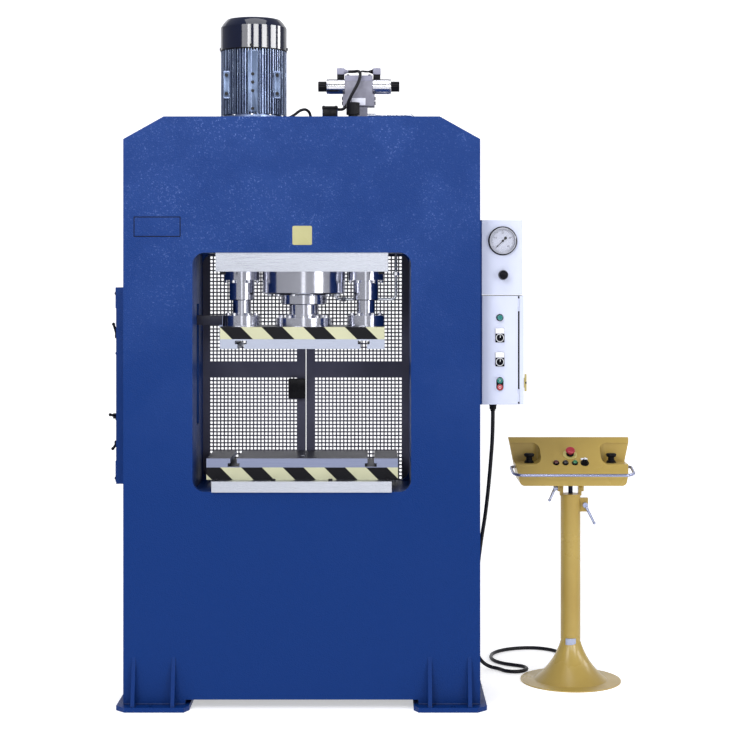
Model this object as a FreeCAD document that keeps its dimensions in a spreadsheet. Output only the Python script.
# Hydraulic press of 100 t: welded plate frame, guided ram, T-slotted platens, motor and valve on
# top, a gauge box and a control cabinet on the right side, and a two-hand console on its own stand.
# Millimetres. X is to the right, Y to the back, Z up. The origin is on the floor, in the middle of
# the four anchor holes of the frame's feet.
import FreeCAD, Part
import math
import os
import re
import Sketcher

SIZES = {
    "welded frame": {
        "FrameWide": 1500, "FrameTall": 2490, "FrameDeep": 420, "FaceThick": 30, "WallThick": 15,
        "ShoulderWide": 170, "ShoulderTall": 95, "RoofThick": 12, "SkirtRise": 40, "LegInner": 490,
        "WindowWide": 918, "WindowSill": 912, "WindowHead": 1918, "WindowRound": 50,
        "LinerThick": 15, "CrownThick": 60, "BedBeamThick": 45, "WebThick": 20, "CrownWebTall": 245,
        "BedWebTall": 350, "WebSpan": 900, "ArmSlotWide": 90, "ArmSlotLow": 1180,
        "ArmSlotHigh": 1700, "SideSlotWide": 180, "SideSlotLow": 990, "SideSlotHigh": 1716,
    },
    "feet": {
        "FootThick": 20, "FootWide": 287, "FootLong": 534, "FootOuter": 777, "FootCorner": 40,
        "AnchorRadius": 11, "AnchorSpan": 1268, "AnchorReach": 238, "GussetThick": 16,
        "GussetTall": 200, "GussetReach": 50, "GussetInner": 538, "GussetOuter": 705,
    },
    "platens": {
        "HeadPlateWide": 726, "HeadPlateDeep": 400, "HeadPlateThick": 80, "BedPlateWide": 756,
        "BedPlateThick": 46, "BedPlateFront": 225, "BedPlateBack": 200, "TableWide": 810,
        "PlatenDeep": 330, "TableThick": 90, "PlatenWide": 696, "PlatenThick": 93,
        "PlatenLow": 1511, "SlotStem": 28, "SlotLip": 20, "SlotHead": 50, "SlotHeadTall": 15,
        "TableSlotReach": 290, "PlatenSlotReach": 260,
    },
    "ram and guides": {
        "FitGap": 0.05, "SeatGap": 0.3, "RodRadius": 100, "BoreRadius": 125, "BarrelRadius": 150,
        "BarrelTop": 2345, "BoreTop": 2300, "BoreFloor": 1850, "GlandRadius": 180, "GlandTall": 96,
        "GlandChamfer": 6, "PistonTall": 80, "PistonLow": 2210, "RodEndRise": 92, "RodChamfer": 4,
        "NeckRadius": 64.5, "CollarRadius": 78.5, "CollarTall": 14, "RamFlangeRadius": 122.5,
        "RamFlangeTall": 36, "GuideReach": 268, "GuideRadius": 40, "GuideTop": 2240,
        "GuideFootRadius": 80, "GuideFootTall": 46, "BushRadius": 55, "BushFlangeRadius": 77.5,
        "BushFlangeTall": 36, "BushTall": 84, "BoreEase": 1, "ArmTall": 40, "ArmHalf": 30,
        "ArmReach": 520, "ArmLift": 5, "ArmRoot": 15, "ArmRootDrop": 64,
    },
    "tank and pump": {
        "TankLeft": -578, "TankRight": -160, "TankHalf": 165, "TankLow": 2255, "TankWall": 5,
        "PumpHalf": 45, "PumpLow": 2290, "PumpTall": 90, "BellRadius": 48, "BellEase": 3,
    },
    "motor": {
        "MotorX": -217, "MotorFlangeRadius": 138, "MotorFlangeTall": 15, "CoreRadius": 116,
        "FinRadius": 142, "FinHalf": 2, "FinCount": 36, "FinLift": 20, "BodyTall": 297,
        "BossReach": 108, "BossFront": 90, "BossWide": 26, "BossDeep": 34, "BossLift": 87,
        "BossTall": 117, "TerminalWide": 110, "TerminalReach": 180, "TerminalLift": 110,
        "TerminalTall": 110, "CoverRadius": 143, "CoverTall": 102, "DomeRadius": 118,
        "DomeTall": 34, "CrestTall": 9, "CoverWall": 3, "VentCount": 20, "VentInner": 40,
        "VentOuter": 104, "VentHalf": 4, "VentDepth": 40, "FanHub": 24, "FanRadius": 118,
        "FanTall": 46, "FanLift": 14, "FanBladeHalf": 2, "FanCount": 7,
    },
    "valve": {
        "ValveX": 237.5, "RiserHalf": 38, "RiserDeep": 30, "SubplateLow": 2552,
        "SubplateHalf": 68.5, "SubplateDeep": 45, "SubplateTall": 51, "ValveHalf": 59.5,
        "ValveDeep": 40, "ValveTall": 80, "CoilZ": 2639, "CoilRadius": 33, "CoilLong": 80,
        "NutRadius": 22, "NutLong": 36, "PipeX": 399, "PipeY": 75, "PipeRadius": 6, "PipeBend": 20,
        "HoseRadius": 7, "HoseReach": 12, "HoseBend": 18, "ValveLeadRadius": 6.5,
        "ValveSpurRadius": 4, "MotorLeadRadius": 6, "PlugWide": 33, "PlugHalf": 14, "PlugLow": 2672,
        "PlugTall": 46, "SpoutTall": 24, "SpoutLong": 16, "CapX": 214, "CapY": -110,
        "CapRadius": 28, "CapTall": 52, "CapNeck": 20, "JunctionLow": 83, "JunctionHigh": 147,
        "JunctionY": -60, "JunctionHalf": 28, "JunctionTall": 52, "CapLift": 16,
    },
    "rear doors": {
        "DoorGap": 4, "DoorHalf": 475, "DoorLow": 890, "DoorHigh": 1940, "DoorStand": 1,
        "DoorFold": 18, "DoorDeep": 24, "FieldInner": 44, "FieldPitch": 64, "FieldHole": 44,
        "FieldColumns": 6, "FieldLow": 976, "LowRows": 6, "FieldUpper": 1444, "UpperRows": 7,
        "HingeX": 482, "HingeY": 224, "HingeRadius": 6, "HingeLong": 60,
        "HingeLow": 980, "HingeHigh": 1790, "HingeLeaf": 3, "InterlockWide": 76,
        "InterlockDeep": 30, "InterlockLow": 1276, "InterlockTall": 88,
    },
    "side cover": {
        "CoverReach": 44, "CoverHalf": 120, "CoverLow": 935, "CoverHigh": 1771, "SheetThick": 3,
        "LeverSlotHalf": 8, "LeverSlotLow": 1040, "LeverSlotHigh": 1640, "StripThick": 12,
        "StripHalf": 60, "StripTall": 90, "LeverHub": 12, "LeverStud": 5, "StudSunk": 14,
        "LeverRoot": 7, "LeverTip": 5, "LeverBall": 7, "StopLeverLong": 52, "UpperLeverZ": 1562,
        "MiddleLeverZ": 1214, "LowerLeverZ": 1096, "UpperLeverHub": 22, "MiddleLeverHub": 30,
        "LowerLeverHub": 24,
    },
    "boxes on the right": {
        "BracketFront": -130, "BracketBack": 60, "BracketThick": 12, "GaugeBoxRight": 934,
        "GaugeBoxLow": 1740, "GaugeBoxHigh": 2057, "BoxFront": -130, "BoxBack": 60,
        "CabinetRight": 940, "CabinetLow": 1273, "CabinetHigh": 1736, "CabinetFront": -127,
        "MouthEdge": 6, "DoorRight": 915, "DoorFront": -131, "DoorThick": 3, "KnuckleX": 918.5,
        "KnuckleRadius": 3, "KnuckleLong": 36, "KnuckleRise": 12, "GaugeX": 850, "GaugeZ": 1968.6,
        "GaugeRim": 61.5, "GaugeRing": 56, "DialRadius": 50, "RimThick": 5, "RingDeep": 16,
        "DialDeep": 8, "NeedleLong": 38, "NeedleTail": 16, "NeedleWide": 2.4, "NeedleHub": 5,
        "NeedleRest": 225, "KnobX": 852, "KnobZ": 1824, "KnobRadius": 20, "KnobLong": 34,
        "CollarLong": 7, "ContactorLow": 50, "ContactorStep": 140, "ContactorLeft": 18,
        "ContactorRight": 40, "LockRise": 142, "LockRadius": 5, "LockLong": 6, "PanelX": 838,
        "LampZ": 1642.7, "LampRadius": 15, "LampTall": 10, "SelectorUpperZ": 1557,
        "SelectorLowerZ": 1455, "PlateHalf": 20, "PlateTall": 62, "PlateThick": 5,
        "SelectorRadius": 14, "SelectorTall": 8, "GripHalf": 4, "GripTall": 10, "StartZ": 1376,
        "StopZ": 1347, "ButtonRadius": 10, "ButtonEase": 0.4, "CapsuleHalf": 20,
        "CapsuleTall": 66, "CapsuleThick": 6, "ButtonTall": 7, "ButtonBack": 3.5,
        "SwitchY": -30, "SwitchZ": 1360, "SwitchRadius": 24, "SwitchThick": 4, "HandleHalf": 37,
        "HandleThick": 9, "HandleReach": 16, "ContactorDeep": 60, "ContactorTall": 80,
        "GlandX": 815, "GlandY": -40, "GlandHexRadius": 15, "GlandNutTall": 12, "GlandTailTall": 22,
    },
    "console": {
        "StandX": 1188, "StandY": 290, "ColumnRadius": 44.5, "ColumnBore": 38.05, "ColumnTop": 832,
        "FlareTop": 179, "FlareMidRadius": 84, "FlareMidZ": 92, "FlareRadius": 164,
        "FootRadius": 225, "DiscThick": 7, "EarLow": 760, "EarHigh": 822, "EarReach": 78,
        "EarHalf": 9, "EarStudX": 64, "EarStudZ": 791, "PostRadius": 38, "PostBore": 30,
        "PostLow": 560, "PostTop": 832.3, "PostCapTop": 840, "ProngInner": 34, "ProngOuter": 48,
        "ProngHalf": 16, "TiltZ": 866, "HingeBoltRadius": 5, "HeadLow": 888, "HeadFront": -110,
        "HeadBack": 105, "NoseTop": 935, "CrestFront": 88, "HeadTop": 1085, "HeadHalfLow": 234,
        "HeadHalfTop": 274, "HeadRound": 22, "PocketInner": 135, "PocketFloor": 978,
        "PocketBack": 62, "PocketRoof": 1062, "PocketRound": 30, "PocketSweep": 35, "HeadWall": 5,
        "RoomDeep": 55, "RoomDrop": 42, "LugOuter": 58, "PalmReach": 185, "PalmV": 12,
        "PalmRadius": 24, "PalmCapTall": 16, "PalmStemRadius": 14, "PalmStemTall": 22,
        "PalmTravel": 5, "SleeveWall": 4, "SleeveTall": 11, "StopU": -3, "ButtonRowU": -70,
        "ButtonPitch": 42, "SmallRadius": 12, "SmallTall": 8, "StopDiscRadius": 31,
        "StopPlateThick": 3, "StopRadius": 21, "StopTall": 15, "StopStemRadius": 12,
        "StopStemTall": 12, "PickerBase": 3, "PickerU": 58, "RowAlong": 78, "StopAlong": 132,
        "RailRadius": 6, "RailBend": 45, "RailRootBend": 15, "HeightLeverHub": 20,
        "HeightLeverLong": 90, "TiltLeverHub": 18, "TiltLeverLong": 62, "SplitHalf": 1.5,
        "SplitDrop": 30, "PickerRadius": 13, "PickerTall": 20, "LeadRadius": 10,
        "LeadLow": 600, "LeadTop": 884, "CordRadius": 8.5, "CordGlandY": 95, "CordGlandZ": 62,
        "CordGlandRadius": 13, "CordGlandLong": 38,
    },
}

# Where the cable's and the rail's middle lines turn; the first and last points are their ends.
CORD_ROUTE = [
    (815, -40, 1239), (815, -40, 1150), (807, -24, 1020), (799, 22, 890), (791, 92, 770),
    (780, 175, 660), (771, 250, 540), (764, 315, 420), (761, 372, 300), (764, 414, 212),
    (769, 444, 146), (777, 468, 86), (797, 488, 40), (836, 493, 12), (880, 470, 9),
    (903, 424, 9), (949, 406, 9), (994, 427, 9), (1012, 473, 9), (993, 519, 9), (948, 542, 9),
    (902, 574, 9), (866, 627, 9), (855, 700, 9), (872, 784, 9), (926, 852, 9), (1004, 892, 9),
    (1086, 898, 9), (1158, 860, 9), (1202, 792, 9), (1212, 716, 9), (1203, 640, 13),
    (1193, 566, 38), (1188, 494, 62), (1188, 423, 62),
]
RAIL_ROUTE = [
    (946, 276, 962), (917, 276, 962), (921, 136, 940), (1455, 136, 940), (1459, 276, 962),
    (1430, 276, 962),
]
VALVE_LEAD_ROUTE = [
    (192, 0, 2704), (216, 0, 2704), (236, -22, 2704), (246, -54, 2690), (240, -70, 2656),
    (224, -72, 2624), (204, -70, 2590), (190, -64, 2556), (172, -60, 2534), (147, -60, 2534),
]
VALVE_SPUR_ROUTE = [(283, 0, 2704), (266, 0, 2704), (254, -16, 2704), (243, -38, 2698)]
MOTOR_LEAD_ROUTE = [
    (-84.5, -40.5, 2498), (-62, -47, 2499), (-38, -50, 2512), (-14, -46, 2532), (8, -36, 2538),
    (24, -24, 2528), (30, -16, 2508), (30, -16, 2490),
]
CYLINDER_PIPE_ROUTE = [(399, 75, 1918), (399, 75, 1718), (135, 75, 1718), (135, 75, 1742)]
ROOF_HOSE_ROUTE = [(275.5, 2514), (474, 2514), (474, 2490)]

doc = FreeCAD.newDocument("hydraulic_press")
sheet = doc.addObject("Spreadsheet::Sheet", "Size")
nodes = []


def fill_sheet():
    """Write every driving size into the sheet under its alias."""
    row = 1
    for section, sizes in SIZES.items():
        sheet.set(f"A{row}", section)
        row += 1
        for alias, value in sizes.items():
            sheet.set(f"A{row}", alias)
            sheet.set(f"B{row}", str(value))
            sheet.setAlias(f"B{row}", alias)
            row += 1
    doc.recompute()


def sized(text):
    """Return an expression whose aliases point at the sheet."""
    return re.sub(r"\b[A-Z]\w+", r"Size.\g<0>", str(text))


def worth(text):
    """Return the value in millimetres of an expression in aliases."""
    return float(sheet.evalExpression(sized(text)))


def place(thing, spot, turn=None):
    """Put a thing at a spot given by three expressions, turned by an optional rotation."""
    if turn is not None:
        thing.Placement = FreeCAD.Placement(FreeCAD.Vector(), turn)
    for axis, text in zip("xyz", spot):
        thing.setExpression(f"Placement.Base.{axis}", sized(text))
    return thing


def facing(direction):
    """Return the rotation that carries +Z onto a direction."""
    return FreeCAD.Rotation(FreeCAD.Vector(0, 0, 1), FreeCAD.Vector(*direction))


RIGHT = facing((1, 0, 0))
LEFT = facing((-1, 0, 0))
FRONT = facing((0, -1, 0))
BACK = facing((0, 1, 0))


def box(name, across, deep, tall):
    """Make a box from the low and high expressions of its three spans."""
    thing = doc.addObject("Part::Box", name)
    for side, (low, high) in zip(("Length", "Width", "Height"), (across, deep, tall)):
        thing.setExpression(side, sized(f"({high}) - ({low})"))
    return place(thing, (across[0], deep[0], tall[0]))


def round_bar(name, spot, radius, length, turn=None):
    """Make a cylinder that starts at a spot and runs along the turned Z axis."""
    thing = doc.addObject("Part::Cylinder", name)
    thing.setExpression("Radius", sized(radius))
    thing.setExpression("Height", sized(length))
    return place(thing, spot, turn)


def taper(name, spot, near, far, length, turn=None):
    """Make a cone frustum from its two radii and its length."""
    thing = doc.addObject("Part::Cone", name)
    thing.setExpression("Radius1", sized(near))
    thing.setExpression("Radius2", sized(far))
    thing.setExpression("Height", sized(length))
    return place(thing, spot, turn)


def ball(name, spot, radius):
    """Make a sphere."""
    thing = doc.addObject("Part::Sphere", name)
    thing.setExpression("Radius", sized(radius))
    return place(thing, spot)


def join(name, *things):
    """Fuse things into one solid."""
    fused = doc.addObject("Part::MultiFuse", name)
    fused.Shapes = list(things)
    fused.Refine = True
    return fused


def cut(name, base, *tools):
    """Take tools out of a base."""
    left = doc.addObject("Part::Cut", name)
    left.Base = base
    left.Tool = tools[0] if len(tools) == 1 else join(name + "_tools", *tools)
    return left


def group(name, *things):
    """Hold separate solids in one shape."""
    held = doc.addObject("Part::Compound", name)
    held.Links = list(things)
    return held


def keep(thing, label):
    """Register a finished sub-part under its name."""
    thing.Label = label
    nodes.append(thing)
    return thing


def sketch_in(body, name, plane, lift=None):
    """Start a sketch on one of a body's own origin planes, lifted by an expression."""
    sketch = body.newObject("Sketcher::SketchObject", name)
    support = [f for f in body.Origin.OriginFeatures if f.Role == plane][0]
    sketch.AttachmentSupport = (support, [""])
    sketch.MapMode = "FlatFace"
    if lift is not None:
        sketch.setExpression("AttachmentOffset.Base.z", sized(lift))
    return sketch


def end_at(sketch, edge, spot):
    """Return which end of an edge, 1 or 2, lies at a spot."""
    return 1 if sketch.getPoint(edge, 1).distanceToPoint(spot) < 1e-6 else 2


def draw(sketch, corners, pinned=True):
    """Draw a closed outline; a corner with a third entry is the middle of an arc."""
    spots = [FreeCAD.Vector(worth(c[0]), worth(c[1]), 0) for c in corners]
    ends = [i for i, c in enumerate(corners) if len(c) == 2]
    edges = []
    for this, following in zip(ends, ends[1:] + ends[:1]):
        between = (this + 1) % len(corners)
        if between == following:
            edge = Part.LineSegment(spots[this], spots[following])
        else:
            edge = Part.Arc(spots[this], spots[between], spots[following])
        edges.append(sketch.addGeometry(edge, False))
    for place_in, this in enumerate(ends):
        edge = edges[place_in]
        before = edges[place_in - 1]
        here = end_at(sketch, edge, spots[this])
        there = end_at(sketch, before, spots[this])
        sketch.addConstraint(Sketcher.Constraint("Coincident", before, there, edge, here))
        if not pinned:
            continue
        for kind, text, value in zip(
            ("DistanceX", "DistanceY"), corners[this], (spots[this].x, spots[this].y)
        ):
            rule = Sketcher.Constraint(kind, -1, 1, edge, here, value)
            number = sketch.addConstraint(rule)
            sketch.setExpression(f"Constraints[{number}]", sized(text))


def ring(sketch, across, up, radius):
    """Draw a circle with a bound radius and centre."""
    centre = FreeCAD.Vector(worth(across), worth(up), 0)
    circle = Part.Circle(centre, FreeCAD.Vector(0, 0, 1), worth(radius))
    edge = sketch.addGeometry(circle, False)
    number = sketch.addConstraint(Sketcher.Constraint("Radius", edge, worth(radius)))
    sketch.setExpression(f"Constraints[{number}]", sized(radius))
    for kind, text, value in (("DistanceX", across, centre.x), ("DistanceY", up, centre.y)):
        number = sketch.addConstraint(Sketcher.Constraint(kind, -1, 1, edge, 3, value))
        sketch.setExpression(f"Constraints[{number}]", sized(text))


def rectangle(left, right, low, high):
    """Return the corners of a rectangle."""
    return [(left, low), (right, low), (right, high), (left, high)]


def rounded(left, right, low, high, radius):
    """Return the corners of a rectangle with round corners."""
    slack = f"({radius})*(1 - sqrt(2)/2)"
    corners = []
    for across, up, dx, dy, lead in (
        (left, low, 1, 1, "y"), (right, low, -1, 1, "x"),
        (right, high, -1, -1, "y"), (left, high, 1, -1, "x"),
    ):
        on_side = (across, f"({up}) + ({dy})*({radius})")
        on_level = (f"({across}) + ({dx})*({radius})", up)
        middle = (f"({across}) + ({dx})*{slack}", f"({up}) + ({dy})*{slack}", "arc")
        start, stop = (on_side, on_level) if lead == "y" else (on_level, on_side)
        corners += [start, middle, stop]
    return corners


def padded(name, plane, corners, thick, spot, holes=(), rings=()):
    """Pad an outline with holes by a thickness along the plane's +X, +Y or +Z normal."""
    body = doc.addObject("PartDesign::Body", name)
    sketch = sketch_in(body, name + "_outline", plane)
    draw(sketch, corners)
    for hole in holes:
        draw(sketch, hole)
    for hole in rings:
        ring(sketch, *hole)
    pad = body.newObject("PartDesign::Pad", name + "_pad")
    pad.Profile = sketch
    pad.setExpression("Length", sized(thick))
    pad.Reversed = plane == "XZ_Plane"
    return place(body, spot)


def turned(name, corners, spot, turn=None):
    """Revolve an outline of radius and height about its own axis."""
    body = doc.addObject("PartDesign::Body", name)
    sketch = sketch_in(body, name + "_profile", "XZ_Plane")
    draw(sketch, corners)
    lathe = body.newObject("PartDesign::Revolution", name + "_turning")
    lathe.Profile = sketch
    lathe.ReferenceAxis = (sketch, ["V_Axis"])
    lathe.Angle = 360
    return place(body, spot, turn)


def tube(name, points, radius, bends=None):
    """Sweep a circle along straight runs joined by arcs; without bends, as wide as they fit."""
    spots = [FreeCAD.Vector(*p) for p in points]
    runs = [b - a for a, b in zip(spots, spots[1:])]
    edges = []
    radii = []
    start = spots[0]
    for number, (before, after, corner) in enumerate(zip(runs, runs[1:], spots[1:])):
        half = before.getAngle(after) / 2
        shorter = min(before.Length, after.Length)
        round_to = bends[number] if bends else 0.45 * shorter / math.tan(half)
        reach = round_to * math.tan(half)
        radii.append(round(round_to))
        into = corner - FreeCAD.Vector(before).normalize() * reach
        out = corner + FreeCAD.Vector(after).normalize() * reach
        inward = (into + out) * 0.5 - corner
        depth = round_to * (1 / math.cos(half) - 1)
        edges.append(Part.LineSegment(start, into).toShape())
        edges.append(Part.Arc(into, corner + inward.normalize() * depth, out).toShape())
        start = out
    edges.append(Part.LineSegment(start, spots[-1]).toShape())
    path = Part.Wire(edges)
    section = Part.Wire(Part.makeCircle(radius, spots[0], edges[0].tangentAt(0)))
    thing = doc.addObject("Part::Feature", name)
    thing.Shape = path.makePipeShell([section], True, False)
    swept = math.pi * radius ** 2 * path.Length
    print(f"{name}: length {path.Length:.0f}, radii {radii}, "
          f"volume over section x length {thing.Shape.Volume / swept:.4f}")
    return thing


# ---------------------------------------------------------------- welded frame

def face_outline():
    """Return the outline of a face plate: two legs, a skirt and two bevelled shoulders."""
    side = "FrameWide/2"
    return [
        (f"-{side}", "FootThick"), ("-LegInner", "FootThick"), ("-LegInner", "SkirtRise"),
        ("LegInner", "SkirtRise"), ("LegInner", "FootThick"), (side, "FootThick"),
        (side, "FrameTall - ShoulderTall"), (f"{side} - ShoulderWide", "FrameTall"),
        (f"-{side} + ShoulderWide", "FrameTall"), (f"-{side}", "FrameTall - ShoulderTall"),
    ]


def make_faces():
    """Make the front plate, and the rear plate with the fixed knuckles of its doors."""
    window = rounded("-WindowWide/2", "WindowWide/2", "WindowSill", "WindowHead", "WindowRound")
    front = padded("front_face", "XZ_Plane", face_outline(), "FaceThick",
                   ("0", "-FrameDeep/2", "0"), [window])
    keep(front, "front_plate")
    rear = padded("rear_face", "XZ_Plane", face_outline(), "FaceThick",
                  ("0", "FrameDeep/2 - FaceThick", "0"), [window])
    knuckles = []
    for side, sign in (("left", "-"), ("right", "")):
        for i, top in enumerate(("HingeLow - SeatGap", "HingeHigh - SeatGap")):
            low = f"{top} - HingeLong/2"
            knuckles.append(round_bar(f"{side}_frame_knuckle_{i}",
                                      (f"{sign}HingeX", "HingeY", low), "HingeRadius",
                                      "HingeLong/2"))
            knuckles.append(box(f"{side}_frame_leaf_{i}",
                                (f"{sign}HingeX - HingeLeaf", f"{sign}HingeX + HingeLeaf"),
                                ("FrameDeep/2 - 1", "HingeY - HingeLeaf"), (low, top)))
    keep(join("rear_weld", rear, *knuckles), "rear_plate")


def make_walls():
    """Make the side walls, the left one slotted for the stroke stops, the right one bracketed."""
    deep = "(FrameDeep/2 - FaceThick)"
    sheet_side = rectangle(f"-{deep}", deep, "FootThick", "FrameTall - ShoulderTall - RoofThick")
    slot = rectangle("-SideSlotWide/2", "SideSlotWide/2", "SideSlotLow", "SideSlotHigh")
    left = padded("left_wall", "YZ_Plane", sheet_side, "WallThick", ("-FrameWide/2", "0", "0"),
                  [slot])
    keep(left, "left_side_wall")
    wall = padded("right_wall", "YZ_Plane", sheet_side, "WallThick",
                  ("FrameWide/2 - WallThick", "0", "0"))
    bracket = box("box_bracket", ("FrameWide/2 - 1", "FrameWide/2 + BracketThick"),
                  ("BracketFront", "BracketBack"), ("CabinetLow", "GaugeBoxHigh"))
    keep(join("right_wall_and_bracket", wall, bracket), "right_side_wall")


def make_inner_frame():
    """Make the window liner, the crown beam above it and the bed beam below it."""
    half = "WindowWide/2"
    deep = "(FrameDeep/2 - FaceThick)"
    outer = rectangle(f"-{half} - LinerThick", f"{half} + LinerThick",
                      "WindowSill - LinerThick", "WindowHead + LinerThick")
    inner = rectangle(f"-{half}", half, "WindowSill", "WindowHead")
    duct = padded("liner_duct", "XZ_Plane", outer, f"2*{deep}", ("0", f"-{deep}", "0"), [inner])
    slot = box("arm_slot", (f"-{half} - 2*LinerThick", f"-{half} + LinerThick"),
               ("-ArmSlotWide/2", "ArmSlotWide/2"), ("ArmSlotLow", "ArmSlotHigh"))
    holes = [
        round_bar("liner_barrel_hole", ("0", "0", "WindowHead - 1"), "BarrelRadius + BoreEase",
                  "LinerThick + 2"),
        round_bar("liner_pipe_hole", ("PipeX", "PipeY", "WindowHead - 1"),
                  "PipeRadius + BoreEase", "LinerThick + 2"),
    ]
    for side, sign in (("left", "-"), ("right", "")):
        holes.append(round_bar(f"liner_{side}_hole", (f"{sign}GuideReach", "0", "WindowHead - 1"),
                               "GuideRadius + BoreEase", "LinerThick + 2"))
    keep(cut("liner_cut", duct, slot, *holes), "window_liner")


def make_beams():
    """Make the crown beam that carries the cylinder and the bed beam that carries the table."""
    side = "(FrameWide/2 - WallThick)"
    deep = "(FrameDeep/2 - FaceThick)"
    low = "WindowHead + LinerThick"
    bores = [("0", "0", "BarrelRadius + BoreEase"), ("PipeX", "PipeY", "PipeRadius + BoreEase")]
    for sign in ("-", ""):
        bores.append((f"{sign}GuideReach", "0", "GuideRadius + BoreEase"))
    plate = padded("crown_plate", "XY_Plane", rectangle(f"-{side}", side, f"-{deep}", deep),
                   "CrownThick", ("0", "0", low), rings=bores)
    webs = [
        box(f"crown_web_{i}", (f"{x} - WebThick/2", f"{x} + WebThick/2"), (f"-{deep}", deep),
            (f"{low} + CrownThick", f"{low} + CrownThick + CrownWebTall"))
        for i, x in enumerate(("-WebSpan/2", "-WebSpan/5", "WebSpan/5", "WebSpan/2"))
    ]
    keep(join("crown_weld", plate, *webs), "crown_beam")
    top = "WindowSill - LinerThick"
    slab = box("bed_slab", (f"-{side}", side), (f"-{deep}", deep), (f"{top} - BedBeamThick", top))
    under = f"{top} - BedBeamThick"
    ribs = [
        box(f"bed_web_{i}", (f"{x} - WebThick/2", f"{x} + WebThick/2"), (f"-{deep}", deep),
            (f"{under} - BedWebTall", under))
        for i, x in enumerate(("-WebSpan/2", "-WebSpan/6", "WebSpan/6", "WebSpan/2"))
    ]
    keep(join("bed_weld", slab, *ribs), "bed_beam")


def make_roof():
    """Make the folded roof plate with its junction box, open where the pump hangs through."""
    side = "(FrameWide/2)"
    deep = "(FrameDeep/2 - FaceThick)"
    shoulder = "FrameTall - ShoulderTall"
    fold = [
        (f"-{side}", f"{shoulder} - RoofThick"),
        (f"-{side} + ShoulderWide", "FrameTall - RoofThick"),
        (f"{side} - ShoulderWide", "FrameTall - RoofThick"), (side, f"{shoulder} - RoofThick"),
        (side, shoulder), (f"{side} - ShoulderWide", "FrameTall"),
        (f"-{side} + ShoulderWide", "FrameTall"), (f"-{side}", shoulder),
    ]
    skin = padded("roof_fold", "XZ_Plane", fold, f"2*{deep}", ("0", f"-{deep}", "0"))
    pump_hole = round_bar("pump_hole", ("MotorX", "0", "FrameTall - 2*RoofThick"),
                          "BellRadius + BellEase", "3*RoofThick")
    junction = box("junction", ("JunctionLow", "JunctionHigh"),
                   ("JunctionY - JunctionHalf", "JunctionY + JunctionHalf"),
                   ("FrameTall - 1", "FrameTall + JunctionTall"))
    keep(join("roof_weld", cut("roof_cut", skin, pump_hole), junction), "roof_plate")


def make_feet():
    """Make the two foot plates, each with its anchor holes and four gussets."""
    inner = "(FootOuter - FootWide)"
    half = "FootLong/2"
    face = "FrameDeep/2"
    for name, sign in (("left_foot", -1), ("right_foot", 1)):
        corners = [
            (inner, f"-{half}"), ("FootOuter - FootCorner", f"-{half}"),
            ("FootOuter", f"-{half} + FootCorner"), ("FootOuter", f"{half} - FootCorner"),
            ("FootOuter - FootCorner", half), (inner, half),
            (f"{inner} - FootCorner/2", f"{half} - FootCorner"),
            (f"{inner} - FootCorner/2", f"-{half} + FootCorner"),
        ]
        corners = [(f"({sign})*({x})", y) for x, y in corners]
        holes = [(f"({sign})*AnchorSpan/2", f"{back}AnchorReach", "AnchorRadius")
                 for back in ("-", "")]
        plate = padded(f"{name}_plate", "XY_Plane", corners, "FootThick", ("0", "0", "0"),
                       rings=holes)
        gussets = []
        for where in ("GussetInner", "GussetOuter"):
            for end, back in (("front", -1), ("rear", 1)):
                slope = [
                    (f"({back})*{face}", "FootThick"),
                    (f"({back})*({face} + GussetReach)", "FootThick"),
                    (f"({back})*{face}", "FootThick + GussetTall"),
                ]
                start = f"({sign})*{where} - GussetThick/2"
                gussets.append(padded(f"{name}_{end}_{where}", "YZ_Plane", slope, "GussetThick",
                                      (start, "0", "0")))
        keep(join(f"{name}_weld", plate, *gussets), name)


# ---------------------------------------------------------------- platens, ram and guides

def slotted_outline(half, low, high, reach, mouth):
    """Return the front outline of a platen whose two T-slots open at its mouth, up or down."""
    edge, back, up = (high, low, -1) if mouth == "up" else (low, high, 1)
    lip = f"({edge}) + ({up})*SlotLip"
    root = f"({edge}) + ({up})*(SlotLip + SlotHeadTall)"
    corners = [(f"-{half}", edge)]
    for centre in (f"-{reach}", reach):
        corners += [
            (f"{centre} - SlotStem/2", edge), (f"{centre} - SlotStem/2", lip),
            (f"{centre} - SlotHead/2", lip), (f"{centre} - SlotHead/2", root),
            (f"{centre} + SlotHead/2", root), (f"{centre} + SlotHead/2", lip),
            (f"{centre} + SlotStem/2", lip), (f"{centre} + SlotStem/2", edge),
        ]
    return corners + [(half, edge), (half, back), (f"-{half}", back)]


def make_platens():
    """Make the head plate, the bed plate and the two T-slotted platens."""
    bores = [("0", "0", "BarrelRadius + BoreEase")]
    for sign in ("-", ""):
        bores.append((f"{sign}GuideReach", "0", "GuideRadius + BoreEase"))
    half = "HeadPlateWide/2"
    head = padded("head_slab", "XY_Plane",
                  rectangle(f"-{half}", half, "-HeadPlateDeep/2", "HeadPlateDeep/2"),
                  "HeadPlateThick", ("0", "0", "WindowHead - HeadPlateThick"), rings=bores)
    keep(head, "head_plate")
    bed = box("bed_plate_slab", ("-BedPlateWide/2", "BedPlateWide/2"),
              ("-BedPlateFront", "BedPlateBack"), ("WindowSill", "WindowSill + BedPlateThick"))
    keep(bed, "bed_plate")
    low = "WindowSill + BedPlateThick"
    table = slotted_outline("TableWide/2", low, f"{low} + TableThick", "TableSlotReach", "up")
    keep(padded("table_slab", "XZ_Plane", table, "PlatenDeep", ("0", "-PlatenDeep/2", "0")),
         "table")
    platen = slotted_outline("PlatenWide/2", "PlatenLow", "PlatenLow + PlatenThick",
                             "PlatenSlotReach", "down")
    keep(padded("platen_slab", "XZ_Plane", platen, "PlatenDeep", ("0", "-PlatenDeep/2", "0")),
         "moving_platen")


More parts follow.
